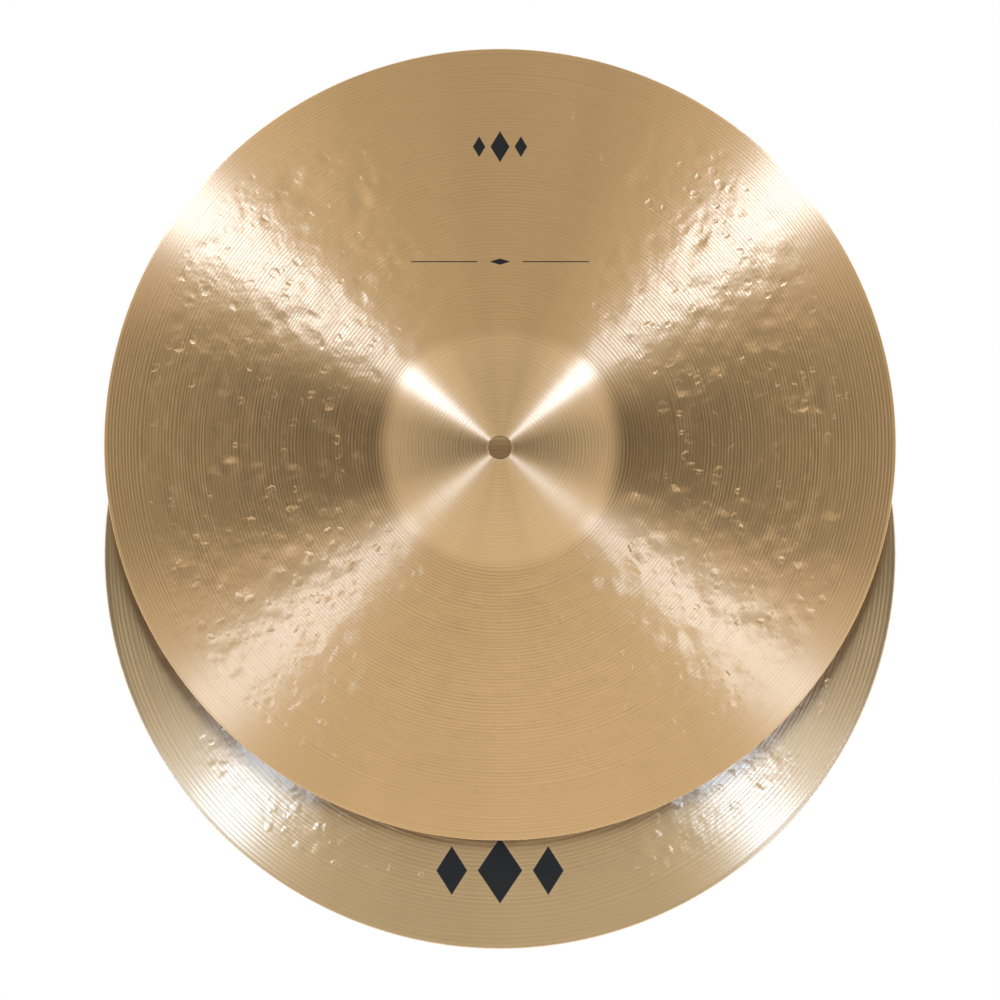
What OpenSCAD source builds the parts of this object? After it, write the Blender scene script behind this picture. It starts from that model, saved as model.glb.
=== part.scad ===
// A pair of hand cymbals held face to face, ready to open and clash.
// Both are one-piece plates of the same pattern: a raised bell with the strap
// hole, a rounded foot, a bow that falls to the rim, and a rounded rim edge.
// Their axes run along Y. The back cymbal's dome faces +Y and the front one's
// faces -Y. The origin is the middle of the back cymbal's strap-hole wall.

/* [Plate] */
// Diameter over the rim (an 18 inch plate)
plate_d = 457.2; // [300:0.1:600]
// Fall of the bow, from the foot of the bell to the rim
bow_rise = 27; // [15:0.5:40]
// Thickness at the rim
rim_t = 0.9; // [0.6:0.05:1.6]
// Thickness of the bell, which the bow takes up at its foot
bell_t = 1.7; // [1.3:0.05:2.6]

/* [Bell] */
// Diameter of the bell, where its dome would cross the bow
bell_d = 132; // [90:1:170]
// Height of the bell above its foot
bell_h = 22; // [14:0.5:30]
// Outer radius of the hollow curve that blends the bell into the bow
foot_r = 24; // [8:1:40]

/* [Strap hole] */
// Diameter of the strap hole
hole_d = 13.4; // [8:0.1:20]
// Chamfer of the hole on the outside of the bell
hole_chamfer_out = 0.5; // [0.2:0.05:0.7]
// Chamfer of the hole on the inside of the bell
hole_chamfer_in = 0.2; // [0.1:0.05:0.5]

/* [Pair] */
// Height of the front cymbal's centre above the back cymbal's centre
stagger = 63; // [0:1:150]
// Clearance between the two rims where they cross
rim_gap = 0.4; // [0.3:0.1:20]

/* [Hidden] */
$fn = 180;

bronze_back = [0.62, 0.52, 0.38];
bronze_front = [0.74, 0.62, 0.45];

// A profile lies in the plane of radius r (x) and height h above the rim (y).
// Neighbouring arcs cross at a slight angle instead of touching, which keeps each
// corner exact: the rim's rounding is a little wider than the sheet, and the foot's
// blend is sunk a little into the bell and the bow.
rim_r = 0.52 * rim_t;
blend_sink = 0.02;
rim_mid = [plate_d / 2 - rim_r, rim_r];
hole_r = hole_d / 2;
foot_at = bell_d / 2;

// Height of the centre, on the axis, of the circle through points a and b.
function centre_h(a, b) = (a * a - b * b) / (2 * (a.y - b.y));
// Unit vector at an angle from the axis.
function ray(angle) = [sin(angle), cos(angle)];
// Height at radius r of a circle whose centre is on the axis.
function height_on(centre, radius, r) = centre + sqrt(radius * radius - r * r);

// Bow: its outer face is a sphere about [0, bow_c].
bow_c = centre_h(rim_mid, [foot_at, rim_mid.y + bow_rise]);
bow_r = norm(rim_mid - [0, bow_c]) + rim_t / 2;
rim_angle = atan2(rim_mid.x, rim_mid.y - bow_c);

// Bell: its outer face is a sphere about [0, bell_c].
bell_r = (foot_at * foot_at + bell_h * bell_h) / (2 * bell_h);
bell_c = height_on(bow_c, bow_r, foot_at) + bell_h - bell_r;

// Foot: the centre of the blend stands foot_r off both spheres.
foot_h = bow_c + (pow(bell_c - bow_c, 2) + pow(bow_r + foot_r, 2) - pow(bell_r + foot_r, 2))
    / (2 * (bell_c - bow_c));
foot_c = [sqrt(pow(bow_r + foot_r, 2) - pow(foot_h - bow_c, 2)), foot_h];
bow_angle = atan2(foot_c.x, foot_c.y - bow_c);
bell_angle = atan2(foot_c.x, foot_c.y - bell_c);

// The bow's inner face thins the plate from bell_t at the foot to rim_t at the rim.
inner_foot = [0, bow_c] + (bow_r - bell_t) * ray(bow_angle);
inner_rim = [0, bow_c] + (bow_r - rim_t) * ray(rim_angle);
inner_c = centre_h(inner_foot, inner_rim);
inner_r = norm(inner_foot - [0, inner_c]);

// Strap hole: its straight wall lies between the two chamfers.
hole_top = height_on(bell_c, bell_r, hole_r + hole_chamfer_out) - hole_chamfer_out;
hole_bottom = height_on(bell_c, bell_r - bell_t, hole_r + hole_chamfer_in) + hole_chamfer_in;
hole_mid = (hole_top + hole_bottom) / 2;

// Everything under one face of the plate: the bow and bell as whole discs, and the
// corner between them filled up to the foot's blend.
module under_face(bow_centre, bow_radius, bell_radius, blend_radius) {
    reach = 2 * (foot_r + bell_t);
    difference() {
        union() {
            translate([0, bow_centre]) circle(bow_radius);
            translate([0, bell_c]) circle(bell_radius);
            polygon([foot_c, foot_c - reach * ray(bell_angle), foot_c - reach * ray(bow_angle)]);
        }
        translate(foot_c) circle(blend_radius);
    }
}

// The sheet between the outer and the inner face, running past the rim.
module sheet_profile() {
    difference() {
        under_face(bow_c, bow_r, bell_r, foot_r + blend_sink);
        under_face(inner_c, inner_r, bell_r - bell_t, foot_r + bell_t + blend_sink);
    }
}

// The half of the outline's plane where the plate can lie, with a round rim edge.
module rim_limit() {
    below = rim_t;
    translate([0, -below]) square([rim_mid.x, plate_d]);
    translate(rim_mid) circle(rim_r);
}

// The strap hole with its two chamfers.
module hole_profile() {
    spread = bell_t;
    polygon([
        [-hole_r, hole_bottom - hole_chamfer_in - spread],
        [hole_r + hole_chamfer_in + spread, hole_bottom - hole_chamfer_in - spread],
        [hole_r, hole_bottom],
        [hole_r, hole_top],
        [hole_r + hole_chamfer_out + spread, hole_top + hole_chamfer_out + spread],
        [-hole_r, hole_top + hole_chamfer_out + spread]
    ]);
}

// One whole plate, its rim at z = 0 and its dome towards +Z.
module plate() {
    rotate_extrude() {
        difference() {
            intersection() {
                sheet_profile();
                rim_limit();
            }
            hole_profile();
        }
    }
}

module back_cymbal() {
    color(bronze_back) translate([0, -hole_mid, 0]) rotate([-90, 0, 0]) plate();
}

module front_cymbal() {
    color(bronze_front) translate([0, -hole_mid - rim_gap, stagger]) rotate([90, 0, 0]) plate();
}

back_cymbal();
front_cymbal();
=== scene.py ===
"""Looks of a pair of hand cymbals: two hammered and lathed bronze plates, held face to face."""
import logging
import math
from dataclasses import dataclass, replace
from enum import Enum
from typing import Any

import bpy
import numpy as np
from mathutils import Matrix, Vector


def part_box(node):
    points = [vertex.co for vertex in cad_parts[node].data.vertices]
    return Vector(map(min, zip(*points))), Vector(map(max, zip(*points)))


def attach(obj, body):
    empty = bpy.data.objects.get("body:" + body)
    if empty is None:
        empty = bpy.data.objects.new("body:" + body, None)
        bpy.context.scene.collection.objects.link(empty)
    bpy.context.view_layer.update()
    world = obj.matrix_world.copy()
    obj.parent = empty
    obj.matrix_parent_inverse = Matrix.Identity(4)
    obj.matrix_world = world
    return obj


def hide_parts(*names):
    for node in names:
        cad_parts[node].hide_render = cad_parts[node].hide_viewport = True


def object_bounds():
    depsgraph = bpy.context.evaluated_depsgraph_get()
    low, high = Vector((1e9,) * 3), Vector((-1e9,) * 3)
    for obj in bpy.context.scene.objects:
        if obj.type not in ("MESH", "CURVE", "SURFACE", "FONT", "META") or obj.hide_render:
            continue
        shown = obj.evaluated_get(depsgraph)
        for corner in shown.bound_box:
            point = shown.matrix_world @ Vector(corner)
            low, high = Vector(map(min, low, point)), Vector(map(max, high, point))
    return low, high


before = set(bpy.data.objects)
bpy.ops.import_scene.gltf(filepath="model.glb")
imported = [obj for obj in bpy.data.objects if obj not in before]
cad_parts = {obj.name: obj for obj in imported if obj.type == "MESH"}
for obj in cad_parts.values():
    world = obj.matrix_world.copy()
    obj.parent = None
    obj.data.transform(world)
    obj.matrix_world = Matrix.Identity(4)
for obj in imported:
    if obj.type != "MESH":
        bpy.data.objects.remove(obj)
CAD_LOW, CAD_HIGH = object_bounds()

MM = 0.001
LOG = logging.getLogger("cymbals")

Vec3 = tuple[float, float, float]
Colour = tuple[float, float, float]

# Colours of the lamps. They are cool, because warm bronze turns white light yellow.
COOLEST: Colour = (0.25, 0.44, 1.0)
COOL: Colour = (0.30, 0.475, 1.0)
PALE: Colour = (0.85, 0.92, 1.0)

FLOAT = "NodeSocketFloat"
VECTOR = "NodeSocketVector"


class Facing(Enum):
    """The way a plate's dome points along Y."""

    NEAR = -1.0
    FAR = 1.0


class Side(Enum):
    """A face of the plate, as an index into its material slots."""

    OUTER = 0
    INNER = 1
    EDGE = 2


# ----------------------------------------------------------------------------
# Shape of a plate
# ----------------------------------------------------------------------------


@dataclass(frozen=True)
class FaceCurve:
    """Height over radius of one face of the plate: bell, blended foot and bow."""

    bow_centre: float
    bow_radius: float
    bell_centre: float
    bell_radius: float
    foot_r: float
    foot_h: float
    blend_radius: float

    def bell_end(self) -> float:
        """Radius at which the bell passes into the foot's blend."""
        reach = math.hypot(self.foot_r, self.foot_h - self.bell_centre)
        return self.foot_r * self.bell_radius / reach

    def bow_start(self) -> float:
        """Radius at which the foot's blend passes into the bow."""
        reach = math.hypot(self.foot_r, self.foot_h - self.bow_centre)
        return self.foot_r * self.bow_radius / reach

    def height(self, r: np.ndarray) -> np.ndarray:
        """Height of the face above the rim plane.

        Args:
            r: Radii from the axis, in metres.

        Returns:
            The heights, in metres.
        """
        bell = self.bell_centre + np.sqrt(np.maximum(self.bell_radius**2 - r**2, 0))
        bow = self.bow_centre + np.sqrt(np.maximum(self.bow_radius**2 - r**2, 0))
        foot = self.foot_h - np.sqrt(np.maximum(self.blend_radius**2 - (r - self.foot_r) ** 2, 0))
        return np.where(r < self.bell_end(), bell, np.where(r > self.bow_start(), bow, foot))


@dataclass(frozen=True)
class PlateShape:
    """Sizes of one plate, in metres, and the curves that follow from them."""

    diameter: float
    bow_rise: float = 27 * MM
    rim_thickness: float = 0.9 * MM
    bell_thickness: float = 1.7 * MM
    bell_diameter: float = 132 * MM
    bell_height: float = 22 * MM
    foot_radius: float = 24 * MM
    hole_diameter: float = 13.4 * MM
    chamfer_out: float = 0.5 * MM
    chamfer_in: float = 0.2 * MM

    def rim_middle(self) -> tuple[float, float]:
        """Radius and height of the middle of the rounded rim edge."""
        half = self.rim_thickness / 2
        return self.diameter / 2 - half, half

    def curves(self) -> tuple[FaceCurve, FaceCurve]:
        """Works out the outer and the inner face from the sizes.

        Returns:
            The outer face's curve and the inner face's curve.
        """
        rim_r, rim_h = self.rim_middle()
        foot_at = self.bell_diameter / 2
        bow_c = (rim_r**2 - foot_at**2) / (-2 * self.bow_rise) + rim_h + self.bow_rise / 2
        bow_r = math.hypot(rim_r, rim_h - bow_c) + self.rim_thickness / 2
        bell_r = (foot_at**2 + self.bell_height**2) / (2 * self.bell_height)
        bell_c = bow_c + math.sqrt(bow_r**2 - foot_at**2) + self.bell_height - bell_r
        apart = bell_c - bow_c
        reach_bow = bow_r + self.foot_radius
        reach_bell = bell_r + self.foot_radius
        foot_h = bow_c + (apart**2 + reach_bow**2 - reach_bell**2) / (2 * apart)
        foot_r = math.sqrt(reach_bow**2 - (foot_h - bow_c) ** 2)
        outer = FaceCurve(bow_c, bow_r, bell_c, bell_r, foot_r, foot_h, self.foot_radius)

        at_foot = math.atan2(foot_r, foot_h - bow_c)
        at_rim = math.atan2(rim_r, rim_h - bow_c)
        thick, thin = bow_r - self.bell_thickness, bow_r - self.rim_thickness
        ra, ha = thick * math.sin(at_foot), bow_c + thick * math.cos(at_foot)
        rb, hb = thin * math.sin(at_rim), bow_c + thin * math.cos(at_rim)
        inner_c = (ra**2 + ha**2 - rb**2 - hb**2) / (2 * (ha - hb))
        inner_r = math.hypot(ra, ha - inner_c)
        inner = FaceCurve(
            inner_c,
            inner_r,
            bell_c,
            bell_r - self.bell_thickness,
            foot_r,
            foot_h,
            self.foot_radius + self.bell_thickness,
        )
        return outer, inner


@dataclass(frozen=True)
class Station:
    """One ring of the plate's cross-section."""

    r: float
    h: float
    side: Side
    dents: float = 0.0


@dataclass(frozen=True)
class Dent:
    """One hammer mark: its place on the plate, its size and its depth."""

    r: float
    angle: float
    along: float
    across: float
    depth: float


@dataclass
class HammerWork:
    """Groups of hammer marks over a plate's bow."""

    seed: int
    groups: int = 300
    least_r: float = 78 * MM
    most_r: float = 208 * MM
    least_size: float = 4.0 * MM
    most_size: float = 8.5 * MM
    least_stretch: float = 0.8
    most_stretch: float = 1.6
    steepness: float = 0.02
    least_force: float = 0.3
    most_force: float = 1.3
    fewest_blows: int = 3
    most_blows: int = 8
    least_step: float = 7.0 * MM
    most_step: float = 14.0 * MM
    wander: float = 0.5

    def dents(self) -> list[Dent]:
        """Lays out the marks, group by group, each group a short run of blows.

        Returns:
            The hammer marks, in the order in which they were struck.
        """
        rng = np.random.default_rng(self.seed)
        made: list[Dent] = []
        for _ in range(self.groups):
            r = math.sqrt(rng.uniform(self.least_r**2, self.most_r**2))
            angle = rng.uniform(0, math.tau)
            heading = rng.uniform(0, math.tau)
            for _ in range(int(rng.integers(self.fewest_blows, self.most_blows + 1))):
                if self.least_r < r < self.most_r:
                    size = rng.uniform(self.least_size, self.most_size)
                    force = rng.uniform(self.least_force, self.most_force)
                    along = size * rng.uniform(self.least_stretch, self.most_stretch)
                    made.append(Dent(r, angle, along, size, size * self.steepness * force))
                step = rng.uniform(self.least_step, self.most_step)
                heading += rng.normal(0, self.wander)
                r += step * math.sin(heading)
                angle += step * math.cos(heading) / r
        return made

    def depths(self, radii: np.ndarray, turns: int) -> np.ndarray:
        """Depth of the marks on a polar grid.

        Args:
            radii: The rings' radii, in metres.
            turns: How many points each ring has.

        Returns:
            An array of depths, one row for each ring, positive into the sheet.
        """
        depth = np.zeros((len(radii), turns))
        angles = np.arange(turns) * math.tau / turns
        for dent in self.dents():
            rows = np.nonzero(np.abs(radii - dent.r) < dent.across)[0]
            if not len(rows):
                continue
            away = (angles - dent.angle + math.pi) % math.tau - math.pi
            cols = np.nonzero(np.abs(away) * dent.r < dent.along)[0]
            u = away[cols] * dent.r / dent.along
            v = (radii[rows] - dent.r) / dent.across
            bowl = np.maximum(1 - u[None, :] ** 2 - v[:, None] ** 2, 0) ** 2
            depth[np.ix_(rows, cols)] += dent.depth * bowl
        return depth


@dataclass
class PlateMesh:
    """Builds one plate as a single closed mesh of rings."""

    shape: PlateShape
    turns: int = 576
    bell_rings: int = 15
    foot_rings: int = 11
    bow_rings: int = 76
    inner_share: float = 0.62
    rim_steps: int = 5
    plain_rim: float = 12 * MM
    inner_dents: float = 0.7

    def face_radii(self, curve: FaceCurve, first: float, last: float, share: float) -> np.ndarray:
        """Radii of one face's rings, from the hole to the rim.

        Args:
            curve: The face's curve.
            first: Radius of the first ring.
            last: Radius of the last ring.
            share: How many of the usual rings this face gets, from 0 to 1.

        Returns:
            The rings' radii, in metres.
        """
        bell = np.linspace(first, curve.bell_end(), round(self.bell_rings * share), endpoint=False)
        foot = np.linspace(
            curve.bell_end(), curve.bow_start(), round(self.foot_rings * share), endpoint=False
        )
        bow = np.linspace(curve.bow_start(), last, round(self.bow_rings * share))
        return np.concatenate([bell, foot, bow])

    def stations(self) -> list[Station]:
        """Goes round the cross-section once, out along the outer face and back along the inner one.

        Returns:
            The rings in order, each with its share of the hammer marks.
        """
        outer, inner = self.shape.curves()
        hole = self.shape.hole_diameter / 2
        rim_r, rim_h = self.shape.rim_middle()
        slope = math.atan2(rim_r, rim_h - outer.bow_centre)
        half = self.shape.rim_thickness / 2
        rings: list[Station] = []

        first = hole + self.shape.chamfer_out
        lip = float(outer.height(np.array(first)))
        rings.append(Station(hole, lip - self.shape.chamfer_out, Side.EDGE))
        rings.append(Station(first, lip, Side.OUTER))
        for r in self.face_radii(outer, first, rim_r + half * math.sin(slope), 1.0)[1:]:
            rings.append(Station(float(r), float(outer.height(r)), Side.OUTER, self.struck(r)))
        for i in range(1, self.rim_steps):
            turn = slope + math.pi * i / self.rim_steps
            rings.append(
                Station(rim_r + half * math.sin(turn), rim_h + half * math.cos(turn), Side.EDGE)
            )
        first = hole + self.shape.chamfer_in
        last = rim_r - half * math.sin(slope)
        for r in self.face_radii(inner, first, last, self.inner_share)[::-1]:
            rings.append(Station(float(r), float(inner.height(r)), Side.INNER, self.struck(r)))
        lip = float(inner.height(np.array(first)))
        rings.append(Station(hole, lip + self.shape.chamfer_in, Side.EDGE))
        return rings

    def struck(self, r: float) -> float:
        """How far the hammer marks show at a radius, from 0 to 1."""
        rim = self.shape.diameter / 2
        return float(np.clip((rim - r) / self.plain_rim - 1, 0, 1))

    def build(self, name: str, centre: Vec3, facing: Facing, marks: HammerWork) -> bpy.types.Object:
        """Makes the plate's object.

        Args:
            name: Name of the piece.
            centre: Middle of the rim plane, in the row frame.
            facing: Where the dome points.
            marks: The hammer marks of the two faces.

        Returns:
            The new object, linked to the scene.
        """
        rings = self.stations()
        radii = np.array([s.r for s in rings])
        heights = np.array([s.h for s in rings])
        inward = np.array([-1.0 if s.side is Side.OUTER else self.inner_dents for s in rings])
        share = np.array([s.dents for s in rings])
        depth = marks.depths(radii, self.turns) * share[:, None]
        h = heights[:, None] + depth * inward[:, None]

        angles = np.arange(self.turns) * math.tau / self.turns
        x = centre[0] + radii[:, None] * np.cos(angles)[None, :]
        z = centre[2] + radii[:, None] * np.sin(angles)[None, :]
        y = centre[1] + facing.value * h
        points = np.stack([x, y, z], axis=-1).reshape(-1, 3)

        count = len(rings)
        here = np.arange(count)[:, None] * self.turns + np.arange(self.turns)[None, :]
        after = np.roll(here, -1, axis=0)
        quads = np.stack(
            [here, np.roll(here, -1, axis=1), np.roll(after, -1, axis=1), after], axis=-1
        )
        if facing is Facing.NEAR:
            quads = quads[..., ::-1]
        mesh = bpy.data.meshes.new(name)
        mesh.from_pydata(points.tolist(), [], quads.reshape(-1, 4).tolist())
        mesh.polygons.foreach_set("use_smooth", np.ones(count * self.turns, bool))
        slots = [self.side_between(a, b).value for a, b in zip(rings, rings[1:] + rings[:1])]
        mesh.polygons.foreach_set("material_index", np.repeat(slots, self.turns))
        mesh.update()
        piece = bpy.data.objects.new(name, mesh)
        bpy.context.scene.collection.objects.link(piece)
        self.sharpen(mesh, rings)
        return piece

    def side_between(self, a: Station, b: Station) -> Side:
        """The face that the band between two rings belongs to."""
        return a.side if a.side is b.side else Side.EDGE

    def sharpen(self, mesh: bpy.types.Mesh, rings: list[Station]) -> None:
        """Keeps the hole's four corners crisp.

        Args:
            mesh: The plate's mesh.
            rings: The rings that it was built from.
        """
        hole = self.shape.hole_diameter / 2
        widest = hole + self.shape.chamfer_out + 1e-6
        crisp = {i for i, s in enumerate(rings) if s.r < widest}
        sharp = np.zeros(len(mesh.edges), bool)
        ends = np.zeros(len(mesh.edges) * 2, np.int32)
        mesh.edges.foreach_get("vertices", ends)
        ring = ends.reshape(-1, 2) // self.turns
        for i in crisp:
            sharp |= (ring[:, 0] == i) & (ring[:, 1] == i)
        mesh.attributes.new("sharp_edge", "BOOLEAN", "EDGE").data.foreach_set("value", sharp)


# ----------------------------------------------------------------------------
# Shader groups
# ----------------------------------------------------------------------------


class Nodes:
    """A short way to add and join shader nodes in one tree."""

    def __init__(self, tree: bpy.types.NodeTree) -> None:
        """Takes the tree that the nodes go into."""
        self.tree = tree

    def add(self, kind: str, inputs: dict[Any, Any] | None = None, **settings: Any) -> Any:
        """Adds a node.

        Args:
            kind: Type name of the node.
            inputs: Values or sockets for its inputs, by name or number.
            settings: Other properties of the node.

        Returns:
            The new node.
        """
        node = self.tree.nodes.new(kind)
        for key, value in settings.items():
            setattr(node, key, value)
        for key, value in (inputs or {}).items():
            self.feed(node.inputs[key], value)
        return node

    def feed(self, socket: Any, value: Any) -> None:
        """Links a socket to an input, or sets the input's own value.

        Args:
            socket: The input.
            value: An output socket, or a number, colour or vector.
        """
        if isinstance(value, bpy.types.NodeSocket):
            self.tree.links.new(value, socket)
        else:
            socket.default_value = value

    def show(self, shader: Any, output: str = "ShaderNodeOutputMaterial") -> None:
        """Joins a shader node to a new output node."""
        self.feed(self.add(output).inputs["Surface"], shader.outputs[0])

    def math(self, operation: str, *values: Any, clamp: bool = False) -> Any:
        """A Math node's result.

        Args:
            operation: The operation's name.
            values: Up to three numbers or sockets.
            clamp: Whether the result is held between 0 and 1.

        Returns:
            The output socket.
        """
        node = self.tree.nodes.new("ShaderNodeMath")
        node.operation = operation
        node.use_clamp = clamp
        for socket, value in zip(node.inputs, values):
            self.feed(socket, value)
        return node.outputs[0]

    def ramp(self, value: Any, low: float, high: float, to_low: float, to_high: float) -> Any:
        """A smooth Map Range from one span to another.

        Args:
            value: The socket to map.
            low: Start of the span read.
            high: End of the span read.
            to_low: Result at the start.
            to_high: Result at the end.

        Returns:
            The output socket.
        """
        node = self.add(
            "ShaderNodeMapRange",
            {0: value, 1: low, 2: high, 3: to_low, 4: to_high},
            interpolation_type="SMOOTHSTEP",
        )
        return node.outputs[0]


def empty_nodes(owner: bpy.types.Material | bpy.types.World) -> Nodes:
    """Clears the node tree of a material or a world.

    Args:
        owner: The material or the world.

    Returns:
        Its nodes.
    """
    owner.use_nodes = True
    owner.node_tree.nodes.clear()
    return Nodes(owner.node_tree)


class Group:
    """A shader node group with named inputs and outputs, made once and placed many times."""

    def __init__(
        self, name: str, inputs: dict[str, tuple[str, Any]], outputs: dict[str, str]
    ) -> None:
        """Makes the group's interface.

        Args:
            name: The group's name.
            inputs: Each input's socket type and its default.
            outputs: Each output's socket type.
        """
        self.tree = bpy.data.node_groups.new(name, "ShaderNodeTree")
        for label, (kind, default) in inputs.items():
            made = self.tree.interface.new_socket(label, in_out="INPUT", socket_type=kind)
            if default is not None:
                made.default_value = default
        for label, kind in outputs.items():
            self.tree.interface.new_socket(label, in_out="OUTPUT", socket_type=kind)
        self.nodes = Nodes(self.tree)
        self.given = self.tree.nodes.new("NodeGroupInput").outputs
        self.result = self.tree.nodes.new("NodeGroupOutput").inputs

    def give(self, **results: Any) -> None:
        """Feeds the group's outputs, with _ for a space in a name."""
        for label, socket in results.items():
            self.nodes.feed(self.result[label.replace("_", " ")], socket)

    def place(self, nodes: Nodes, **values: Any) -> Any:
        """Adds the group to a material.

        Args:
            nodes: The material's nodes.
            values: The inputs' values, with _ for a space in a name.

        Returns:
            The group node's outputs.
        """
        inputs = {label.replace("_", " "): value for label, value in values.items()}
        return nodes.add("ShaderNodeGroup", inputs, node_tree=self.tree).outputs


# Inputs of a printed mark: the place on the plate, the mark's middle and half its size.
STAMP_SOCKETS: dict[str, tuple[str, Any]] = {
    "U": (FLOAT, 0.0),
    "V": (FLOAT, 0.0),
    "At U": (FLOAT, 0.0),
    "At V": (FLOAT, 0.0),
    "Half U": (FLOAT, 5 * MM),
    "Half V": (FLOAT, 5 * MM),
}


def place_group() -> Group:
    """Place on the plate: flat coordinates about its axis, radius and a seamless ring vector.

    Returns:
        The group.
    """
    group = Group(
        "plate_place",
        {"Centre Z": (FLOAT, 0.0)},
        {"U": FLOAT, "V": FLOAT, "Radius": FLOAT, "Spin": VECTOR},
    )
    n = group.nodes
    place = n.add("ShaderNodeTexCoord").outputs["Object"]
    xyz = n.add("ShaderNodeSeparateXYZ", {0: place}).outputs
    v = n.math("SUBTRACT", xyz["Z"], group.given["Centre Z"])
    squares = n.math("ADD", n.math("MULTIPLY", xyz["X"], xyz["X"]), n.math("MULTIPLY", v, v))
    radius = n.math("SQRT", squares)
    safe = n.math("MAXIMUM", radius, 1e-5)
    spin = n.add(
        "ShaderNodeCombineXYZ",
        {0: n.math("DIVIDE", xyz["X"], safe), 1: n.math("DIVIDE", v, safe), 2: radius},
    ).outputs[0]
    group.give(U=xyz["X"], V=v, Radius=radius, Spin=spin)
    return group


def groove_group() -> Group:
    """Lathe grooves: rings of uneven depth that drift slightly on their way round, with their
    painted shade.

    Returns:
        The group.
    """
    group = Group(
        "lathe_grooves",
        {
            "Spin": (VECTOR, None),
            "Radius": (FLOAT, 0.0),
            "Pitch": (FLOAT, 2 * MM),
            "Fine": (FLOAT, 0.5),
        },
        {"Height": FLOAT, "Shade": FLOAT},
    )
    n = group.nodes
    turns = n.math("DIVIDE", 1.0, group.given["Pitch"])

    def streaks(round_about: float, per_turn: float, detail: float) -> Any:
        """Noise drawn out along the grooves.

        Args:
            round_about: How fast it changes on its way round.
            per_turn: How fast it changes across the grooves, for each groove.
            detail: Levels of finer noise.

        Returns:
            The noise's socket, from 0 to 1.
        """
        stretch = n.add(
            "ShaderNodeCombineXYZ",
            {0: round_about, 1: round_about, 2: n.math("MULTIPLY", turns, per_turn)},
        )
        at = n.add(
            "ShaderNodeVectorMath",
            {0: group.given["Spin"], 1: stretch.outputs[0]},
            operation="MULTIPLY",
        )
        noise = n.add(
            "ShaderNodeTexNoise",
            {"Vector": at.outputs[0], "Scale": 1.0, "Detail": detail, "Roughness": 0.6},
        )
        return noise.outputs[0]

    wander = streaks(round_about=0.9, per_turn=0.3, detail=1.0)
    drift = n.math("MULTIPLY", n.math("SUBTRACT", wander, 0.5), 1.5)
    phase = n.math("ADD", n.math("MULTIPLY", group.given["Radius"], turns), drift)
    wave = n.math("SINE", n.math("MULTIPLY", phase, math.tau))
    depth = n.ramp(streaks(round_about=1.6, per_turn=0.5, detail=0.0), 0.25, 0.75, 0.4, 1.0)
    scratches = streaks(round_about=2.2, per_turn=2.6, detail=1.0)
    fine = n.math("SUBTRACT", scratches, 0.5)
    cut = n.math("MULTIPLY", wave, depth)
    fine_share = n.math("MULTIPLY", group.given["Fine"], 2.0)
    height = n.math("ADD", cut, n.math("MULTIPLY", fine, fine_share))
    # Painted shade of the grooves: lighter on the ridges and darker in the troughs, plus the
    # scratches' random tone.
    shade = n.math("ADD", n.math("MULTIPLY", cut, 0.5), fine)
    group.give(Height=height, Shade=shade)
    return group


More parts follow.
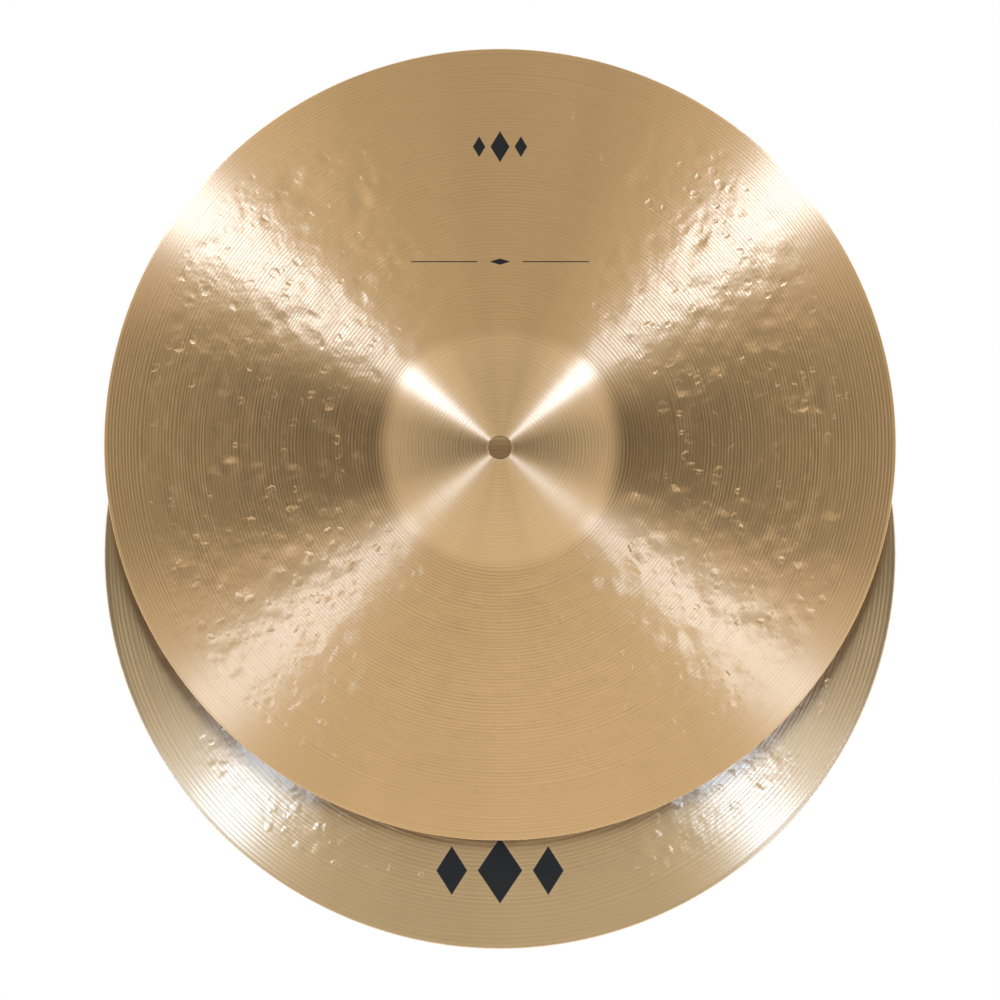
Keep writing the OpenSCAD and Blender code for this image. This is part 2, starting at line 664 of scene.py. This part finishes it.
@dataclass(frozen=True)
class MarkScatter:
    """How the small hammer marks lie: lengths in metres, noise scales for each metre."""

    warp: float = 5 * MM
    warp_scale: float = 160.0
    crowd_scale: float = 22.0
    crowd_from: float = 0.36
    crowd_to: float = 0.6
    least_share: float = 0.1
    most_share: float = 1.3
    least_reach: float = 0.2
    reach_spread: float = 0.28
    edge_power: float = 1.15
    least_depth: float = 0.2
    depth_power: float = 3.0
    ripple_scale: float = 120.0
    starts: tuple[float, float] = (70 * MM, 92 * MM)
    ends: tuple[float, float] = (200 * MM, 218 * MM)

    def group(self) -> Group:
        """Small sharp hammer marks: scattered bowls, thick in some places and absent in others.

        Returns:
            The group.
        """
        group = Group(
            "hammer_marks",
            {
                "U": (FLOAT, 0.0),
                "V": (FLOAT, 0.0),
                "Radius": (FLOAT, 0.0),
                "Cell": (FLOAT, 9 * MM),
                "Share": (FLOAT, 0.5),
                "Seed": (FLOAT, 0.0),
                "Ripple": (FLOAT, 1.0),
            },
            {"Height": FLOAT, "Mask": FLOAT},
        )
        n = group.nodes
        given = group.given
        flat = n.add(
            "ShaderNodeCombineXYZ", {0: given["U"], 1: given["V"], 2: given["Seed"]}
        ).outputs[0]
        warp = n.add(
            "ShaderNodeTexNoise", {"Vector": flat, "Scale": self.warp_scale, "Detail": 1.0}
        ).outputs["Color"]
        moved = n.add("ShaderNodeVectorMath", {0: warp, 1: (0.5, 0.5, 0.5)}, operation="SUBTRACT")
        moved = n.add(
            "ShaderNodeVectorMath", {0: moved.outputs[0], "Scale": self.warp}, operation="SCALE"
        )
        bent = n.add("ShaderNodeVectorMath", {0: flat, 1: moved.outputs[0]}, operation="ADD")
        cell = n.add(
            "ShaderNodeTexVoronoi",
            {
                "Vector": bent.outputs[0],
                "Scale": n.math("DIVIDE", 1.0, given["Cell"]),
                "Randomness": 1.0,
            },
            voronoi_dimensions="2D",
        ).outputs
        chance = n.add("ShaderNodeSeparateColor", {0: cell["Color"]}).outputs
        crowd = n.add(
            "ShaderNodeTexNoise", {"Vector": flat, "Scale": self.crowd_scale, "Detail": 1.0}
        ).outputs[0]
        share = n.ramp(crowd, self.crowd_from, self.crowd_to, self.least_share, self.most_share)
        odds = n.math("MULTIPLY", share, given["Share"])
        present = n.math("LESS_THAN", chance[0], odds)
        size = n.math("ADD", n.math("MULTIPLY", chance[1], self.reach_spread), self.least_reach)
        reach = n.math("DIVIDE", cell["Distance"], size)
        bowl = n.math("SUBTRACT", 1.0, n.math("MULTIPLY", reach, reach), clamp=True)
        bowl = n.math("POWER", bowl, self.edge_power)
        rare = n.math("POWER", chance[2], self.depth_power)
        deep = n.math("MULTIPLY", rare, 1.0 - self.least_depth)
        deep = n.math("ADD", deep, self.least_depth)
        zone = n.math(
            "MULTIPLY",
            n.ramp(given["Radius"], *self.starts, 0.0, 1.0),
            n.ramp(given["Radius"], *self.ends, 1.0, 0.0),
        )
        mask = n.math("MULTIPLY", n.math("MULTIPLY", bowl, present), n.math("MULTIPLY", zone, deep))
        wave = n.add(
            "ShaderNodeTexNoise",
            {"Vector": flat, "Scale": self.ripple_scale, "Detail": 2.0, "Roughness": 0.55},
        ).outputs[0]
        swell = n.math("MULTIPLY", zone, given["Ripple"])
        ripple = n.math("MULTIPLY", n.math("SUBTRACT", wave, 0.5), swell)
        group.give(Height=n.math("SUBTRACT", ripple, mask), Mask=mask)
        return group


def lozenge_group() -> Group:
    """A printed lozenge: 1 inside, 0 outside.

    Returns:
        The group.
    """
    group = Group("ink_lozenge", STAMP_SOCKETS, {"Mask": FLOAT})
    n = group.nodes
    given = group.given
    across = n.math("ABSOLUTE", n.math("SUBTRACT", given["U"], given["At U"]))
    up = n.math("ABSOLUTE", n.math("SUBTRACT", given["V"], given["At V"]))
    across = n.math("DIVIDE", across, given["Half U"])
    up = n.math("DIVIDE", up, given["Half V"])
    reach = n.math("ADD", across, up)
    group.give(Mask=n.ramp(reach, 0.97, 1.03, 1.0, 0.0))
    return group


def rule_group() -> Group:
    """A printed straight rule: 1 inside, 0 outside.

    Returns:
        The group.
    """
    group = Group("ink_rule", STAMP_SOCKETS, {"Mask": FLOAT})
    n = group.nodes
    given = group.given
    across = n.math("ABSOLUTE", n.math("SUBTRACT", given["U"], given["At U"]))
    up = n.math("ABSOLUTE", n.math("SUBTRACT", given["V"], given["At V"]))
    beside = n.math("LESS_THAN", across, given["Half U"])
    level = n.math("LESS_THAN", up, given["Half V"])
    group.give(Mask=n.math("MULTIPLY", beside, level))
    return group


# ----------------------------------------------------------------------------
# Finishes
# ----------------------------------------------------------------------------


@dataclass(frozen=True)
class Effects:
    """The shader groups that the finishes share."""

    place: Group
    grooves: Group
    dents: Group
    lozenge: Group
    rule: Group


class StampForm(Enum):
    """Form of a printed mark."""

    LOZENGE = "lozenge"
    RULE = "rule"


@dataclass(frozen=True)
class Stamp:
    """One plain printed mark, placed from the plate's axis."""

    form: StampForm
    u: float
    v: float
    half_u: float
    half_v: float

    def mask(self, n: Nodes, effects: Effects, place: Any) -> Any:
        """Adds the mark's mask to a material.

        Args:
            n: The material's nodes.
            effects: The shared shader groups.
            place: Outputs of the plate's place group.

        Returns:
            The mask's socket.
        """
        group = effects.lozenge if self.form is StampForm.LOZENGE else effects.rule
        made = group.place(
            n,
            U=place["U"],
            V=place["V"],
            At_U=self.u,
            At_V=self.v,
            Half_U=self.half_u,
            Half_V=self.half_v,
        )
        return made["Mask"]


@dataclass(frozen=True)
class LathedBronze:
    """Hammered bronze with lathe grooves, which gather light in bands out from the hole."""

    name: str
    colour: Colour = (0.735, 0.472, 0.224)
    pitch: float = 1.95 * MM
    groove_depth: float = 0.04
    fine: float = 0.5
    # Strength of the grooves' painted shade in the colour, which darkens the troughs and lightens
    # the ridges.
    tone: float = 0.11
    cloud: float = 0.04
    dent_depth: float = 0.16
    dent_cell: float = 8.5 * MM
    dent_share: float = 0.95
    ripple: float = 1.05
    seed: float = 1.0
    roughness: float = 0.315
    rim_roughness: float = 0.335
    rim_from: float = 140 * MM
    rim_to: float = 200 * MM
    bell_roughness: float = 0.39
    bell_edge: float = 66 * MM
    bell_blend: float = 7 * MM
    # A paler colour for the bell: painted light that brightens the bell.
    bell_colour_painted_light: Colour = (0.83, 0.56, 0.285)
    ink: tuple[Stamp, ...] = ()
    ink_colour: Colour = (0.016, 0.015, 0.012)
    ink_gloss: float = 0.2
    anisotropy: float = 1.0

    def make(self, effects: Effects, centre_z: float) -> bpy.types.Material:
        """Builds the material.

        Args:
            effects: The shared shader groups.
            centre_z: Height of the plate's axis, in the row frame.

        Returns:
            The material.
        """
        material = bpy.data.materials.new(self.name)
        n = empty_nodes(material)
        place = effects.place.place(n, Centre_Z=centre_z)
        grooves = effects.grooves.place(
            n, Spin=place["Spin"], Radius=place["Radius"], Pitch=self.pitch, Fine=self.fine
        )
        dents = effects.dents.place(
            n,
            U=place["U"],
            V=place["V"],
            Radius=place["Radius"],
            Cell=self.dent_cell,
            Share=self.dent_share,
            Seed=self.seed,
            Ripple=self.ripple,
        )
        height = n.math("MULTIPLY", grooves["Height"], self.groove_depth)
        height = n.math("ADD", height, n.math("MULTIPLY", dents["Height"], self.dent_depth))
        bump = n.add(
            "ShaderNodeBump", {"Strength": 1.0, "Distance": MM, "Height": height}
        ).outputs[0]

        # The colour carries the grooves' painted shade, darker in the troughs and lighter on the
        # ridges, plus a random cloudy tone.
        tone = n.math("ADD", 1.0, n.math("MULTIPLY", grooves["Shade"], self.tone))
        cloud = n.add(
            "ShaderNodeTexNoise", {"Vector": place["Spin"], "Scale": 3.0, "Detail": 3.0}
        ).outputs[0]
        tone = n.math("ADD", tone, n.ramp(cloud, 0.3, 0.7, -self.cloud, self.cloud))
        bell_from = self.bell_edge - self.bell_blend
        bell_to = self.bell_edge + self.bell_blend
        # The bell is painted paler than the rest of the sheet: painted light that brightens it.
        sheet_and_bell_light = n.add(
            "ShaderNodeMix",
            {
                "Factor": n.ramp(place["Radius"], bell_from, bell_to, 0.0, 1.0),
                "A": (*self.bell_colour_painted_light, 1.0),
                "B": (*self.colour, 1.0),
            },
            data_type="RGBA",
        ).outputs["Result"]
        colour = n.add(
            "ShaderNodeVectorMath", {0: sheet_and_bell_light, "Scale": tone}, operation="SCALE"
        ).outputs[0]
        rough = n.ramp(place["Radius"], bell_from, bell_to, self.bell_roughness, self.roughness)
        duller = n.ramp(
            place["Radius"], self.rim_from, self.rim_to, 0.0, self.rim_roughness - self.roughness
        )
        rough = n.math("ADD", rough, duller)
        metal: Any = 1.0
        if self.ink:
            inked = self.ink[0].mask(n, effects, place)
            for stamp in self.ink[1:]:
                inked = n.math("MAXIMUM", inked, stamp.mask(n, effects, place))
            colour = n.add(
                "ShaderNodeMix",
                {"Factor": inked, "A": colour, "B": (*self.ink_colour, 1.0)},
                data_type="RGBA",
            ).outputs["Result"]
            metal = n.math("SUBTRACT", 1.0, inked)
        tangent = n.add("ShaderNodeTangent", direction_type="RADIAL", axis="Y").outputs[0]
        shader = n.add(
            "ShaderNodeBsdfPrincipled",
            {
                "Base Color": colour,
                "Metallic": metal,
                "Roughness": rough,
                "Specular IOR Level": self.ink_gloss,
                "Anisotropic": self.anisotropy,
                "Anisotropic Rotation": 0.25,
                "Normal": bump,
                "Tangent": tangent,
            },
        )
        n.show(shader)
        return material


# The hollow sides, painted a little paler and greyer than the outsides: painted light that whitens
# and brightens their highlights. They are duller in the bell.
HOLLOW_BRONZE = LathedBronze(
    "bronze_hollow",
    colour=(0.75, 0.53, 0.28),
    roughness=0.3,
    rim_roughness=0.3,
    bell_roughness=0.5,
)

FRONT_PRINT = (
    Stamp(StampForm.LOZENGE, 0.0, 172 * MM, 5.5 * MM, 9 * MM),
    Stamp(StampForm.LOZENGE, -12 * MM, 172 * MM, 3.6 * MM, 6 * MM),
    Stamp(StampForm.LOZENGE, 12 * MM, 172 * MM, 3.6 * MM, 6 * MM),
    Stamp(StampForm.LOZENGE, 0.0, 106 * MM, 6.0 * MM, 1.8 * MM),
    Stamp(StampForm.RULE, -32 * MM, 106 * MM, 19 * MM, 0.3 * MM),
    Stamp(StampForm.RULE, 32 * MM, 106 * MM, 19 * MM, 0.3 * MM),
)

BACK_PRINT = (
    Stamp(StampForm.LOZENGE, 0.0, -184 * MM, 13 * MM, 19 * MM),
    Stamp(StampForm.LOZENGE, -28 * MM, -184 * MM, 9 * MM, 14 * MM),
    Stamp(StampForm.LOZENGE, 28 * MM, -184 * MM, 9 * MM, 14 * MM),
)


@dataclass(frozen=True)
class CutBronze:
    """Bare bronze where a tool has cut or filed the edge."""

    name: str
    colour: Colour = (0.92, 0.68, 0.42)
    least_tone: float = 0.92
    most_tone: float = 1.05
    least_roughness: float = 0.24
    most_roughness: float = 0.38
    scratch: float = 0.01

    def make(self) -> bpy.types.Material:
        """Builds the material.

        Returns:
            The material.
        """
        material = bpy.data.materials.new(self.name)
        n = empty_nodes(material)
        place = n.add("ShaderNodeTexCoord").outputs["Object"]
        streak = n.add("ShaderNodeTexNoise", {"Vector": place, "Scale": 900.0, "Detail": 2.0})
        height = n.math("MULTIPLY", streak.outputs[0], self.scratch)
        bump = n.add("ShaderNodeBump", {"Strength": 1.0, "Distance": MM, "Height": height})
        rough = n.ramp(streak.outputs[0], 0.3, 0.7, self.least_roughness, self.most_roughness)
        tone = n.ramp(streak.outputs[0], 0.3, 0.7, self.least_tone, self.most_tone)
        colour = n.add(
            "ShaderNodeVectorMath", {0: self.colour, "Scale": tone}, operation="SCALE"
        ).outputs[0]
        shader = n.add(
            "ShaderNodeBsdfPrincipled",
            {
                "Base Color": colour,
                "Metallic": 1.0,
                "Roughness": rough,
                "Normal": bump.outputs[0],
            },
        )
        n.show(shader)
        return material


# ----------------------------------------------------------------------------
# Sub-assemblies
# ----------------------------------------------------------------------------


@dataclass
class Cymbal:
    """One cymbal of the pair."""

    node: str
    body: str
    facing: Facing
    outer: LathedBronze
    inner: LathedBronze
    edge: CutBronze
    marks: HammerWork
    slot: str = "bronze"

    def shape(self) -> PlateShape:
        """The plate's sizes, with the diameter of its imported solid."""
        low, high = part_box(self.node)
        return PlateShape(diameter=high.x - low.x)

    def centre(self) -> Vec3:
        """Middle of the rim plane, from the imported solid's box.

        Returns:
            The point, in the row frame.
        """
        low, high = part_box(self.node)
        rim = high.y if self.facing is Facing.NEAR else low.y
        return ((low.x + high.x) / 2, rim, (low.z + high.z) / 2)

    def build(self, effects: Effects) -> bpy.types.Object:
        """Makes the plate, dresses it and hands it to its body.

        Args:
            effects: The shared shader groups.

        Returns:
            The visible plate.
        """
        centre = self.centre()
        mesh = PlateMesh(self.shape())
        piece = mesh.build(f"{self.node}_plate", centre, self.facing, self.marks)
        for material in (
            self.outer.make(effects, centre[2]),
            self.inner.make(effects, centre[2]),
            self.edge.make(),
        ):
            piece.data.materials.append(material)
        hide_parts(self.node)
        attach(piece, self.body)
        return piece


# ----------------------------------------------------------------------------
# Studio
# ----------------------------------------------------------------------------


@dataclass(frozen=True)
class LampForm:
    """Size, strength and colour of a lamp, and how far from the pair's axis it hangs."""

    off_axis: float
    distance: float
    across: float
    along: float
    radiance: float
    colour: Colour = COOL


TALL_LEFT = LampForm(off_axis=55.0, distance=2.4, across=0.34, along=1.3, radiance=14.6)
TALL_RIGHT = LampForm(off_axis=55.0, distance=2.4, across=0.36, along=1.3, radiance=14.6)
LOW = LampForm(off_axis=36.0, distance=0.85, across=0.085, along=0.28, radiance=7.2)
CRESCENT = LampForm(
    off_axis=55.0, distance=2.4, across=0.34, along=1.3, radiance=25.0, colour=COOLEST
)
HOLLOW = LampForm(off_axis=34.0, distance=0.85, across=0.4, along=0.34, radiance=1.35, colour=PALE)


class Lit(Enum):
    """The plates that a lamp lights, as the name of the collection that holds them."""

    PAIR = "lit_pair"
    FRONT = "lit_front"
    BACK = "lit_back"
    BACK_UNSHADED = "lit_back_unshaded"


@dataclass
class Softbox:
    """A soft lamp that looks at the pair, in front of it or behind it."""

    name: str
    around: float
    form: LampForm
    behind: bool = False
    lit: Lit = Lit.PAIR

    def build(self, aim: Vector) -> bpy.types.Object:
        """Hangs the lamp.

        Args:
            aim: The point that it looks at.

        Returns:
            The lamp's object.
        """
        form = self.form
        a = math.radians(self.around)
        t = math.radians(180.0 - form.off_axis if self.behind else form.off_axis)
        back = Vector((math.sin(t) * math.cos(a), -math.cos(t), math.sin(t) * math.sin(a)))
        outward = Vector((math.cos(t) * math.cos(a), math.sin(t), math.cos(t) * math.sin(a)))
        side = outward.cross(back).normalized()
        up = back.cross(side).normalized()
        light = bpy.data.lights.new(self.name, "AREA")
        light.shape = "RECTANGLE"
        light.size, light.size_y = form.across, form.along
        light.energy = form.radiance * math.pi * form.across * form.along
        light.color = form.colour
        lamp = bpy.data.objects.new(self.name, light)
        bpy.context.scene.collection.objects.link(lamp)
        turn = Matrix((side, up, back)).transposed().to_4x4()
        lamp.matrix_world = Matrix.Translation(aim + back * form.distance) @ turn
        lamp.visible_camera = False
        return lamp


@dataclass
class Card:
    """A dark or grey card, which the bronze mirrors and the camera doesn't see."""

    name: str
    at: Vec3
    size: tuple[float, float]
    level: float

    def build(self, aim: Vector) -> bpy.types.Object:
        """Stands the card up.

        Args:
            aim: The point that it faces.

        Returns:
            The card's object.
        """
        w, h = self.size[0] / 2, self.size[1] / 2
        mesh = bpy.data.meshes.new(self.name)
        mesh.from_pydata([(-w, -h, 0), (w, -h, 0), (w, h, 0), (-w, h, 0)], [], [(0, 1, 2, 3)])
        card = bpy.data.objects.new(self.name, mesh)
        bpy.context.scene.collection.objects.link(card)
        card.location = self.at
        card.rotation_mode = "QUATERNION"
        card.rotation_quaternion = (aim - Vector(self.at)).to_track_quat("Z", "Y")
        material = bpy.data.materials.new(self.name)
        n = empty_nodes(material)
        grey = (self.level,) * 3 + (1.0,)
        n.show(n.add("ShaderNodeEmission", {"Color": grey, "Strength": 1.0}))
        mesh.materials.append(material)
        card.visible_camera = False
        card.visible_diffuse = False
        card.visible_shadow = False
        return card


@dataclass
class Studio:
    """Floor, world, lamps, cards and camera."""

    floor_gap: float = 0.19
    floor_half: float = 12.0
    near_floor: float = 0.45
    far_floor: float = 1.2
    floor_mirrored: float = 0.85
    world_level: float = 0.62
    camera_distance: float = 3.6
    camera_lift: float = 1.95
    view_width: float = 0.5776
    sensor: float = 36.0
    hole_lamp_gap: float = 0.69
    hole_lamp_cone: float = 1.0
    hole_lamp_power: float = 1.3
    floor_lamp_gap: float = 2.2
    floor_lamp_side: float = 1.2
    floor_lamp_radiance: float = 7.0

    def lamps(self) -> list[Softbox]:
        """Tall lamps above and small ones below, in front and behind, and more for the hollow side.

        Returns:
            The lamps, not yet hung.
        """
        made = []
        for end, behind in (("front", False), ("back", True)):
            tall = Lit.PAIR if behind else Lit.FRONT
            made += [
                Softbox(f"lamp_{end}_left", around=143.0, form=TALL_LEFT, behind=behind, lit=tall),
                Softbox(f"lamp_{end}_right", around=41.0, form=TALL_RIGHT, behind=behind, lit=tall),
                Softbox(f"lamp_{end}_low_left", around=220.5, form=LOW, behind=behind),
                Softbox(f"lamp_{end}_low_right", around=321.0, form=LOW, behind=behind),
            ]
        free = Lit.BACK_UNSHADED
        made += [
            Softbox("lamp_crescent_left", around=138.0, form=CRESCENT, lit=free),
            Softbox("lamp_crescent_right", around=40.5, form=CRESCENT, lit=free),
            Softbox("lamp_hollow_left", around=159.0, form=HOLLOW, lit=Lit.BACK),
            Softbox("lamp_hollow_right", around=21.0, form=HOLLOW, lit=Lit.BACK),
        ]
        return made

    def cards(self) -> list[Card]:
        """Dark cards across the middle and a grey one above, in front of the pair and behind it.

        Returns:
            The cards, not yet stood up.
        """
        made = []
        for end, way in (("front", -1.0), ("back", 1.0)):
            made += [
                Card(f"card_{end}_middle", at=(0.0, 2.2 * way, 0.03), size=(2.8, 0.6), level=0.0),
                Card(f"card_{end}_left", at=(-1.0, 1.6 * way, 0.03), size=(0.7, 0.8), level=0.15),
                Card(f"card_{end}_right", at=(1.0, 1.6 * way, 0.03), size=(0.7, 0.8), level=0.15),
                Card(f"card_{end}_above", at=(0.0, 1.6 * way, 1.35), size=(1.5, 1.1), level=0.3),
            ]
        return made

    def build(self) -> dict[Lit, list[bpy.types.Object]]:
        """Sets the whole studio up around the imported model.

        Returns:
            The lamps by what they are to light. The plates are linked to them later.
        """
        aim = self.middle()
        self.build_world()
        floor = self.build_floor(CAD_LOW.z - self.floor_gap)
        self.build_floor_lamp(floor)
        lamps: dict[Lit, list[bpy.types.Object]] = {lit: [] for lit in Lit}
        for lamp in self.lamps():
            lamps[lamp.lit].append(lamp.build(aim))
        lamps[Lit.PAIR].append(self.build_hole_lamp())
        for card in self.cards():
            card.build(aim)
        self.build_camera()
        bpy.context.scene.view_settings.view_transform = "Standard"
        return lamps

    def middle(self) -> Vector:
        """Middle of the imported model's box."""
        return (CAD_LOW + CAD_HIGH) / 2

    def build_hole_lamp(self) -> bpy.types.Object:
        """A narrow lamp that shines through the near strap hole, onto the far plate.

        Returns:
            The lamp's object.
        """
        low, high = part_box("front_cymbal")
        light = bpy.data.lights.new("lamp_hole", "SPOT")
        light.spot_size = math.radians(self.hole_lamp_cone)
        light.spot_blend = 0.1
        light.shadow_soft_size = 0.0
        light.energy = self.hole_lamp_power
        lamp = bpy.data.objects.new("lamp_hole", light)
        bpy.context.scene.collection.objects.link(lamp)
        hole = Vector(((low.x + high.x) / 2, low.y, (low.z + high.z) / 2))
        way = (self.camera_place() - hole).normalized()
        lamp.location = hole + way * self.hole_lamp_gap
        lamp.rotation_mode = "QUATERNION"
        lamp.rotation_quaternion = way.to_track_quat("Z", "Y")
        return lamp

    def camera_place(self) -> Vector:
        """Where the camera stands: level with the middle of the rims, then lifted a little.

        Returns:
            Its place.
        """
        middle = self.middle()
        lift = math.radians(self.camera_lift)
        away = Vector((0.0, -math.cos(lift), math.sin(lift))) * self.camera_distance
        return Vector((middle.x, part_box("front_cymbal")[1].y, middle.z)) + away

    def build_floor_lamp(self, floor: bpy.types.Object) -> None:
        """Hangs a wide lamp over the pair, which lights the floor alone and gives it a soft shadow.

        Args:
            floor: The floor.
        """
        light = bpy.data.lights.new("lamp_floor", "AREA")
        light.shape = "SQUARE"
        light.size = self.floor_lamp_side
        light.energy = self.floor_lamp_radiance * math.pi * self.floor_lamp_side**2
        lamp = bpy.data.objects.new("lamp_floor", light)
        bpy.context.scene.collection.objects.link(lamp)
        lamp.location = (0.0, 0.0, CAD_HIGH.z + self.floor_lamp_gap)
        lamp.visible_camera = False
        lamp.visible_glossy = False
        self.light_only([lamp], [floor], "lit_floor")

    def light_only(
        self,
        lamps: list[bpy.types.Object],
        pieces: list[bpy.types.Object],
        name: str,
        unshaded: bool = False,
    ) -> None:
        """Keeps the lamps' light on some objects and off all others.

        Args:
            lamps: The lamps.
            pieces: The objects that they light.
            name: Name of the collection that holds those objects.
            unshaded: Whether no other object casts a shadow in that light.
        """
        lit = bpy.data.collections.new(name)
        for piece in pieces:
            lit.objects.link(piece)
        for lamp in lamps:
            lamp.light_linking.receiver_collection = lit
            if unshaded:
                lamp.light_linking.blocker_collection = lit

    def build_world(self) -> None:
        """A plain white world."""
        world = bpy.data.worlds.new("studio")
        n = empty_nodes(world)
        path = n.add("ShaderNodeLightPath").outputs
        seen = n.math("MAXIMUM", path["Is Camera Ray"], path["Is Glossy Ray"])
        seen = n.math("MAXIMUM", seen, path["Is Transmission Ray"])
        strength = n.ramp(seen, 0.0, 1.0, self.world_level, 1.0)
        light = n.add("ShaderNodeBackground", {"Color": (1, 1, 1, 1), "Strength": strength})
        n.show(light, "ShaderNodeOutputWorld")
        bpy.context.scene.world = world

    def build_floor(self, level: float) -> bpy.types.Object:
        """A pale floor that keeps the shadow near the pair and runs out to white.

        Args:
            level: Height of the floor.

        Returns:
            The floor.
        """
        half = self.floor_half
        mesh = bpy.data.meshes.new("floor")
        corners = ((-half, -half), (half, -half), (half, half), (-half, half))
        mesh.from_pydata([(x, y, level) for x, y in corners], [], [(0, 1, 2, 3)])
        floor = bpy.data.objects.new("floor", mesh)
        bpy.context.scene.collection.objects.link(floor)
        material = bpy.data.materials.new("pale_floor")
        n = empty_nodes(material)
        place = n.add("ShaderNodeTexCoord").outputs["Object"]
        flat = n.add("ShaderNodeVectorMath", {0: place, 1: (1, 1, 0)}, operation="MULTIPLY")
        reach = n.add("ShaderNodeVectorMath", {0: flat.outputs[0]}, operation="LENGTH")
        away = n.ramp(reach.outputs["Value"], self.near_floor, self.far_floor, 0.0, 1.0)
        glossy = n.add("ShaderNodeLightPath").outputs["Is Glossy Ray"]
        mirrored = n.math("MULTIPLY", glossy, self.floor_mirrored)
        away = n.math("MAXIMUM", away, mirrored)
        matt = n.add("ShaderNodeBsdfDiffuse", {"Color": (0.93, 0.93, 0.93, 1)})
        white = n.add("ShaderNodeEmission", {"Color": (1, 1, 1, 1), "Strength": 1.0})
        n.show(n.add("ShaderNodeMixShader", {0: away, 1: matt.outputs[0], 2: white.outputs[0]}))
        mesh.materials.append(material)
        return floor

    def build_camera(self) -> None:
        """A long lens in front of the rims, and a little above their middle."""
        data = bpy.data.cameras.new("camera")
        data.sensor_width = self.sensor
        data.lens = self.sensor * self.camera_distance / self.view_width
        camera = bpy.data.objects.new("camera", data)
        bpy.context.scene.collection.objects.link(camera)
        camera.location = self.camera_place()
        camera.rotation_euler = (math.radians(90.0 - self.camera_lift), 0, 0)
        bpy.context.scene.camera = camera


def main() -> None:
    """Builds the pair and the studio, and reports each piece."""
    logging.basicConfig(level=logging.INFO, format="%(message)s")
    studio = Studio()
    lamps = studio.build()
    effects = Effects(
        place=place_group(),
        grooves=groove_group(),
        dents=MarkScatter().group(),
        lozenge=lozenge_group(),
        rule=rule_group(),
    )
    edge = CutBronze("cut_bronze")
    pair = [
        Cymbal(
            node="front_cymbal",
            body="front",
            facing=Facing.NEAR,
            outer=LathedBronze("bronze_front_outer", ink=FRONT_PRINT),
            inner=replace(HOLLOW_BRONZE, name="bronze_front_inner", seed=3.0),
            edge=edge,
            marks=HammerWork(seed=11),
        ),
        Cymbal(
            node="back_cymbal",
            body="back",
            facing=Facing.FAR,
            outer=LathedBronze("bronze_back_outer", seed=5.0),
            inner=replace(
                HOLLOW_BRONZE,
                name="bronze_back_inner",
                pitch=2.4 * MM,
                seed=7.0,
                ink=BACK_PRINT,
            ),
            edge=edge,
            marks=HammerWork(seed=12),
        ),
    ]
    pieces = []
    for cymbal in pair:
        piece = cymbal.build(effects)
        pieces.append(piece)
        LOG.info("%s: %d faces", piece.name, len(piece.data.polygons))
    front, back = pieces[:1], pieces[1:]
    plates = {Lit.PAIR: pieces, Lit.FRONT: front, Lit.BACK: back, Lit.BACK_UNSHADED: back}
    for lit, group in lamps.items():
        studio.light_only(group, plates[lit], lit.value, unshaded=lit is Lit.BACK_UNSHADED)


if __name__ == "__main__":
    main()
